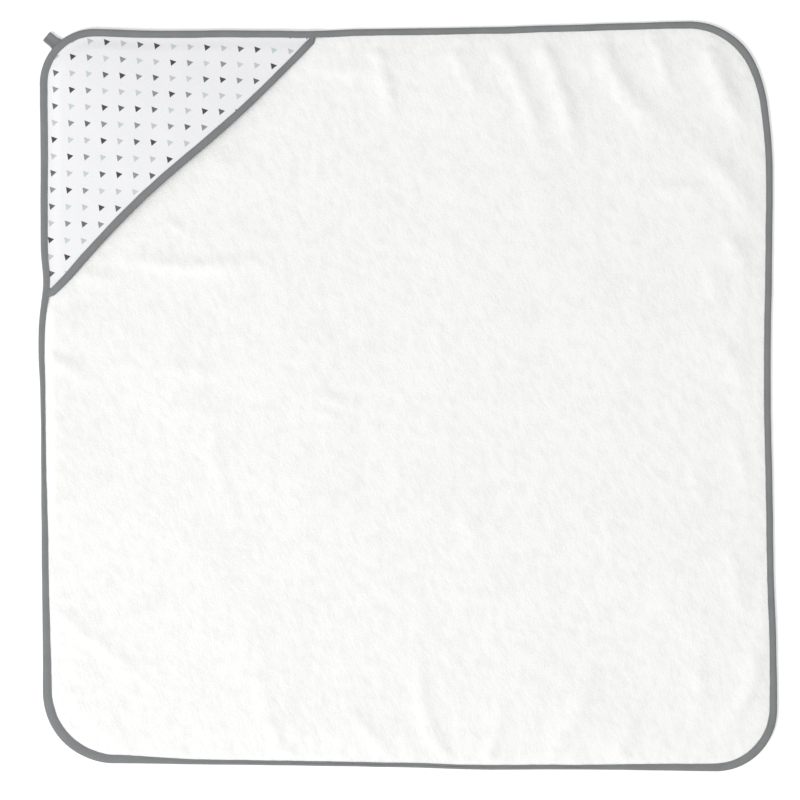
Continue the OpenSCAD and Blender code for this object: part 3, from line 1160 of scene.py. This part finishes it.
def makeLoop():
    bm, share = gridMesh(*loop["cells"])
    facing = math.radians(loop["direction"])
    out = np.array([math.cos(facing), math.sin(facing)])
    footAngle = math.radians(loop["foot"])
    foot = hoodCorner["centre"] + hoodCorner["radius"] * np.array([math.cos(footAngle), math.sin(footAngle)])
    half = (loop["gap"] + loop["thickness"]) / 2
    total = 2 * (loop["length"] + loop["tail"] - half) + math.pi * half
    points, coords = [], []
    for s, w in share:
        reach, z = loopFold(s * total)
        root = float(smooth(1 - reach / loop["rootLength"]))
        flare = float(smooth(1 - (reach + loop["rootStart"]) / loop["rootLength"]))
        tip = float(smooth((reach - loop["length"] + loop["tipLength"]) / loop["tipLength"]))
        across = (w - 0.5) * loop["width"] * (1 + loop["flare"] * flare - loop["rounding"] * tip)
        bow = loop["bow"] * math.cos(math.pi * (w - 0.5)) * float(smooth(reach / loop["bowOver"]))
        height = loop["height"] + z * (1 - loop["squeeze"] * root) + bow
        points.append((*(foot + out * reach + leftOf(out) * across), height))
        coords.append((s * total, w * loop["width"]))
    piece = thickSheet("hang_tab", bm, points, coords, loop["thickness"], greyTape)
    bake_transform(piece)
    return piece


def makeLabel():
    bm, share = gridMesh(*label["cells"])
    out, inward = corners[1]["out"], leftOf(corners[1]["out"])
    seam = corners[1]["sharp"] + out * label["fromCorner"] + inward * label["seam"]
    points, coords = [], []
    for s, w in share:
        deep = w * (label["length"] + label["tail"]) - label["tail"]
        across = (s - 0.5) * label["width"]
        settled = float(smooth(deep / label["settleOver"]))
        points.append((*(seam + out * across + inward * deep), label["height"] - label["settle"] * settled))
        coords.append((across, deep))
    piece = thickSheet("satin_label", bm, points, coords, label["thickness"], labelSatin)
    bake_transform(piece)
    return piece


panel = makePanel()
edgeTape = makeEdgeTape()
print("panel and tape ready")

wholeRim = (0, rimLength, tape["stitchPitch"], tape["stitchLength"])
edgeTop = rimStitches("edge_stitches_upper", greyThread, upperSeam, *wholeRim)
edgeLow = rimStitches("edge_stitches_lower", greyThread, lowerSeam, *wholeRim)
bastingRow = rimStitches("basting_stitches", whiteThread, bastingSeam, mouthTop + basting["mouthGap"],
                         rimLength + mouthSide - basting["mouthGap"], basting["pitch"], basting["length"])
print("edge seam ready")

lining = hoodCloth("hood_terry_lining", liningTerry, 0, 90)
outerCloth = hoodCloth("hood_printed_cloth", printedCloth, 1, 110)
mouthTape = makeMouthTape()
mouthUpper = mouthStitches("mouth_stitches_upper", True)
mouthLower = mouthStitches("mouth_stitches_lower", False)
hangTab = makeLoop()
careLabel = makeLabel()
print("hood, loop and label ready")

for piece in (panel, edgeTape, edgeTop, edgeLow, bastingRow):
    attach(piece, "towel")
for piece in (lining, outerCloth, mouthTape, mouthUpper, mouthLower):
    liftWith(piece)

for piece, node, slot in (
    (panel, "towel_panel", "terry"),
    (edgeTape, "edge_binding", "binding_tape"),
    (edgeTop, "edge_needle_thread", "grey_thread"),
    (edgeLow, "edge_bobbin_thread", "grey_thread"),
    (bastingRow, "side_basting_thread", "white_thread"),
    (lining, "hood_lining", "lining_terry"),
    (outerCloth, "hood_panel", "printed_cloth"),
    (mouthTape, "mouth_binding", "binding_tape"),
    (mouthUpper, "mouth_needle_thread", "grey_thread"),
    (mouthLower, "mouth_bobbin_thread", "grey_thread"),
    (hangTab, "hang_loop", "loop_tape"),
    (careLabel, "care_label", "label_satin"),
):
    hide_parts(node)

stage = {
    "floorSize": 14.0,
    "floorDrop": 0.3 * mm,
    "floorSurface": {
        "Base Color": (0.97, 0.97, 0.97, 1),
        "Roughness": 0.9,
        "Specular IOR Level": 0.1,
        "Emission Color": (1, 1, 1, 1),
        "Emission Strength": 0.2,
    },
    "cameraHeight": 3.2,
    "viewWidth": 0.8222,
    "sensor": 36.0,
    "lookX": -8.4 * mm,
    "lookY": -4.2 * mm,
    "world": 0.67,
    "key": 203.0,
    "keySize": 2.7,
    "keyPlace": (-3.6, -2.8, 3.7),
}


def makeFloor():
    bm = bmesh.new()
    down = Matrix.Translation((0, 0, -stage["floorDrop"]))
    bmesh.ops.create_grid(bm, x_segments=1, y_segments=1, size=stage["floorSize"] / 2, matrix=down)
    material, shader = newMaterial("white floor")
    setShader(shader, stage["floorSurface"])
    return newMesh("floor", bm, material, shade=False)


floor = makeFloor()


def addWorld():
    world = bpy.data.worlds.new("studio")
    world.use_nodes = True
    background = world.node_tree.nodes["Background"]
    background.inputs["Color"].default_value = (1, 1, 1, 1)
    background.inputs["Strength"].default_value = stage["world"]
    bpy.context.scene.world = world


def addKey():
    lamp = bpy.data.lights.new("key", "AREA")
    lamp.shape = "DISK"
    lamp.size = stage["keySize"]
    lamp.energy = stage["key"]
    key = bpy.data.objects.new("key", lamp)
    key.location = stage["keyPlace"]
    key.rotation_euler = (-Vector(stage["keyPlace"])).to_track_quat("-Z", "Y").to_euler()
    bpy.context.scene.collection.objects.link(key)


def addCamera():
    lens = bpy.data.cameras.new("camera")
    lens.sensor_width = stage["sensor"]
    lens.lens = stage["sensor"] * stage["cameraHeight"] / stage["viewWidth"]
    lens.clip_end = 50.0
    camera = bpy.data.objects.new("camera", lens)
    camera.location = (stage["lookX"], stage["lookY"], stage["cameraHeight"])
    bpy.context.scene.collection.objects.link(camera)
    bpy.context.scene.camera = camera


addWorld()
addKey()
addCamera()
bpy.context.scene.view_settings.view_transform = "Standard"
print("stage ready")
